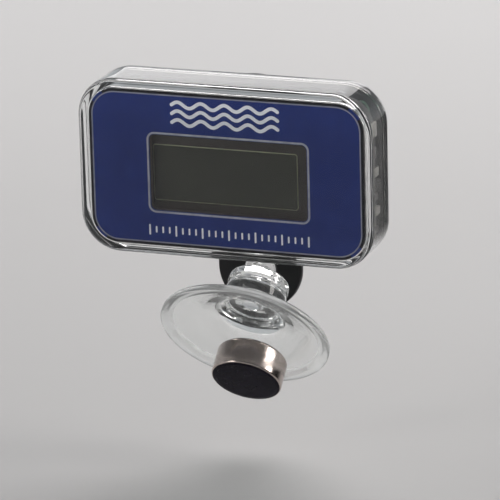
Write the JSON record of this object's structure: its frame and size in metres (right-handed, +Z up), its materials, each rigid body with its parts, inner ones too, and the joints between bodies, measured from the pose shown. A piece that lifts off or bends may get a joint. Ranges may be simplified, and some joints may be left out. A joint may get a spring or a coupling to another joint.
{
  "type": "submersible digital aquarium thermometer",
  "caption": "Digital aquarium thermometer in a clear rounded housing with navy face, display window, black rear tongue, clear suction cup and a loose button cell.",
  "frame": {"origin": "middle of the clear front face of the housing, the face that lies against the tank glass", "axes": "+X to the viewer's right along the wide side, +Y backwards into the housing, +Z up; the display looks along -Y"},
  "size_m": [0.0494, 0.0251, 0.0546],
  "materials": {
    "clear_plastic": "clear polycarbonate, polished",
    "soft_clear": "clear soft PVC, glossy",
    "navy_print": "navy printed film, satin",
    "black_plastic": "black moulded ABS, fine spark texture",
    "grey_plastic": "warm grey moulded plastic",
    "lcd_glass": "thin display glass",
    "polariser": "dark olive polariser film",
    "reflector": "silver grey reflector film",
    "black_rubber": "black rubber, matt",
    "board": "green solder mask",
    "ceramic": "brown ceramic chip",
    "steel": "stainless, fine brushed",
    "nickel": "nickel plated steel, polished",
    "bronze": "phosphor bronze strip"
  },
  "bodies": {
    "housing": {"front_shell": "clear_plastic", "face_label": "navy_print", "display_carrier": "grey_plastic", "lcd_polariser_front": "polariser", "lcd_glass_front": "lcd_glass", "lcd_glass_rear": "lcd_glass", "lcd_reflector": "reflector", "zebra_strip": "black_rubber", "circuit_board": "board", "chip_blob": "black_plastic", "crystal_can": "steel", "chip_resistor": "black_plastic", "chip_capacitor": "ceramic", "thermistor": "black_plastic", "battery_spring": "steel", "positive_contact": "bronze", "board_screw_upper_left": "steel", "board_screw_upper_right": "steel", "board_screw_lower_left": "steel", "board_screw_lower_right": "steel", "cover_seal": "black_rubber", "rear_cover": "black_plastic"},
    "cap_seal": {"cap_o_ring": "black_rubber"},
    "battery_cap": {"battery_cap": "black_plastic"},
    "cup_stem": {"suction_cup_stem": "soft_clear"},
    "cup_bell": {"suction_cup_bell": "soft_clear"},
    "cell": {"cell_can": "nickel", "cell_gasket": "black_rubber", "cell_cap": "steel"}
  },
  "joints": [
    {"name": "cap_lift", "type": "slide", "parent": "housing", "child": "cap_seal", "axis": [0, 1, 0], "range_m": [0, 0.02]},
    {"name": "cap_turn", "type": "hinge", "parent": "cap_seal", "child": "battery_cap", "pos_m": [0, 0.015, 0.0034], "axis": [0, 1, 0], "range_deg": [0, 90]},
    {"name": "cup_turn", "type": "hinge", "parent": "housing", "child": "cup_stem", "pos_m": [0, 0.0162, -0.0205], "axis": [0, 1, 0], "range_deg": [-24, 24]},
    {"name": "cup_tilt", "type": "hinge", "parent": "cup_stem", "child": "cup_bell", "pos_m": [0.0014, 0.0123, -0.0205], "axis": [1, 0, 0], "range_deg": [-8, 10]},
    {"name": "cell_lift", "type": "slide", "parent": "cup_bell", "child": "cell", "axis": [0, -0.766, -0.6428], "range_m": [0, 0.012]}
  ]
}
